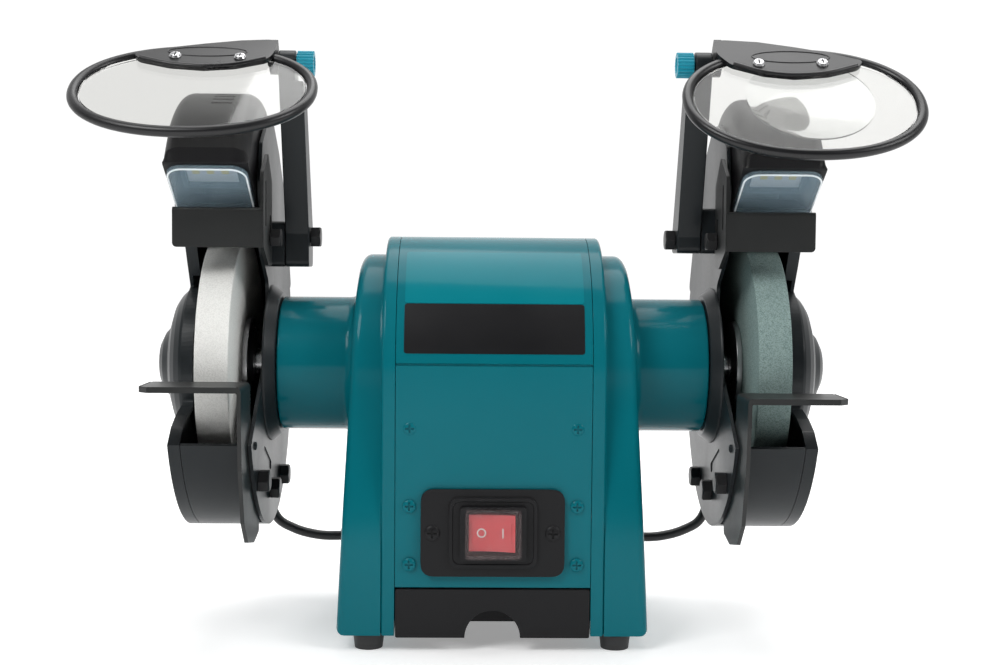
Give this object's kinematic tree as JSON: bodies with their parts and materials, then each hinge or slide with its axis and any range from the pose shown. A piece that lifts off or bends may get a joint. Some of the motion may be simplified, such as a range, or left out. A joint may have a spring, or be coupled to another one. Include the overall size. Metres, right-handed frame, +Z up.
{
  "type": "bench grinder",
  "caption": "Bench grinder with a wheel, guard, lamp, tilting eye shield, spark deflector and tool rest on each side, a rocker switch and a pull-out quench tray.",
  "frame": {"origin": "on the bench, under the middle of the outer box", "axes": "+X along the spindle to the operator's right, -Y to the operator, +Z up"},
  "size_m": [0.469, 0.2296, 0.3473],
  "materials": {
    "teal_paint": "gloss",
    "black_paint": "semi-gloss",
    "bright_steel": "satin",
    "laminated_steel": "satin",
    "varnished_copper": "varnished",
    "aluminium_can": "satin",
    "black_plastic": "satin",
    "teal_plastic": "gloss",
    "red_plastic": "gloss",
    "clear_plastic": "clear",
    "black_rubber": "matte",
    "white_abrasive": "rough",
    "grey_abrasive": "rough"
  },
  "bodies": {
    "housing": {"left_motor_casting": "teal_paint", "right_motor_casting": "teal_paint", "wrap_cover": "teal_paint", "base_plate": "black_paint", "front_left_foot": "black_rubber", "front_right_foot": "black_rubber", "back_left_foot": "black_rubber", "back_right_foot": "black_rubber", "cord_gland": "black_plastic", "stator_core": "laminated_steel", "run_capacitor": "aluminium_can", "left_winding": "varnished_copper", "left_bearing": "bright_steel", "left_guard": "black_paint", "left_guard_cover": "black_paint", "left_rest_bolt": "black_paint", "left_deflector_bolt": "black_paint", "left_arm_bolt": "black_paint", "left_lamp_housing": "black_plastic", "left_lamp_lens": "clear_plastic", "left_lamp_lead": "black_rubber", "right_winding": "varnished_copper", "right_bearing": "bright_steel", "right_guard": "black_paint", "right_guard_cover": "black_paint", "right_rest_bolt": "black_paint", "right_deflector_bolt": "black_paint", "right_arm_bolt": "black_paint", "right_lamp_housing": "black_plastic", "right_lamp_lens": "clear_plastic", "right_lamp_lead": "black_rubber", "switch_plate": "black_plastic", "switch_body": "black_plastic", "switch_boot": "clear_plastic"},
    "spindle": {"spindle_shaft": "bright_steel", "rotor_core": "laminated_steel", "left_wheel": "white_abrasive", "left_inner_flange": "bright_steel", "left_outer_flange": "bright_steel", "left_wheel_nut": "bright_steel", "right_wheel": "grey_abrasive", "right_inner_flange": "bright_steel", "right_outer_flange": "bright_steel", "right_wheel_nut": "bright_steel"},
    "switch_rocker": {"switch_rocker": "red_plastic"},
    "quench_tray": {"quench_tray": "black_plastic"},
    "left_rest": {"left_tool_rest": "black_paint"},
    "left_deflector": {"left_spark_deflector": "black_paint"},
    "left_arm": {"left_shield_arm": "black_paint"},
    "left_shield": {"left_shield_frame": "black_plastic", "left_shield_pane": "clear_plastic"},
    "left_knob": {"left_shield_knob": "teal_plastic"},
    "right_rest": {"right_tool_rest": "black_paint"},
    "right_deflector": {"right_spark_deflector": "black_paint"},
    "right_arm": {"right_shield_arm": "black_paint"},
    "right_shield": {"right_shield_frame": "black_plastic", "right_shield_pane": "clear_plastic", "right_magnifier": "clear_plastic"},
    "right_knob": {"right_shield_knob": "teal_plastic"}
  },
  "joints": [
    {"name": "spindle_spin", "type": "hinge", "parent": "housing", "child": "spindle", "pos_m": [-0.002, 0.01402, 0.157], "axis": [1, 0, 0], "continuous": true},
    {"name": "switch_rock", "type": "hinge", "parent": "housing", "child": "switch_rocker", "pos_m": [-0.002, -0.06248, 0.0683], "axis": [0, 0, 1], "range_deg": [0, 16]},
    {"name": "tray_slide", "type": "slide", "parent": "housing", "child": "quench_tray", "axis": [0, -1, 0], "range_m": [0, 0.09]},
    {"name": "left_rest_slide", "type": "slide", "parent": "housing", "child": "left_rest", "axis": [0, -1, 0], "range_m": [-0.0015, 0.012]},
    {"name": "left_deflector_slide", "type": "slide", "parent": "housing", "child": "left_deflector", "axis": [0, 0, -1], "range_m": [0, 0.01]},
    {"name": "left_arm_tilt", "type": "hinge", "parent": "housing", "child": "left_arm", "pos_m": [-0.112, 0.01402, 0.233], "axis": [1, 0, 0], "range_deg": [-15, 15]},
    {"name": "left_shield_tilt", "type": "hinge", "parent": "left_arm", "child": "left_shield", "pos_m": [-0.126, -0.02598, 0.3315], "axis": [1, 0, 0], "range_deg": [-45, 15]},
    {"name": "left_knob_turn", "type": "hinge", "parent": "left_arm", "child": "left_knob", "pos_m": [-0.106, -0.02598, 0.3315], "axis": [1, 0, 0], "continuous": true},
    {"name": "right_rest_slide", "type": "slide", "parent": "housing", "child": "right_rest", "axis": [0, -1, 0], "range_m": [-0.0015, 0.012]},
    {"name": "right_deflector_slide", "type": "slide", "parent": "housing", "child": "right_deflector", "axis": [0, 0, -1], "range_m": [0, 0.01]},
    {"name": "right_arm_tilt", "type": "hinge", "parent": "housing", "child": "right_arm", "pos_m": [0.108, 0.01402, 0.233], "axis": [1, 0, 0], "range_deg": [-15, 15]},
    {"name": "right_shield_tilt", "type": "hinge", "parent": "right_arm", "child": "right_shield", "pos_m": [0.122, -0.02598, 0.333], "axis": [1, 0, 0], "range_deg": [-45, 8]},
    {"name": "right_knob_turn", "type": "hinge", "parent": "right_arm", "child": "right_knob", "pos_m": [0.102, -0.02598, 0.333], "axis": [1, 0, 0], "continuous": true}
  ]
}
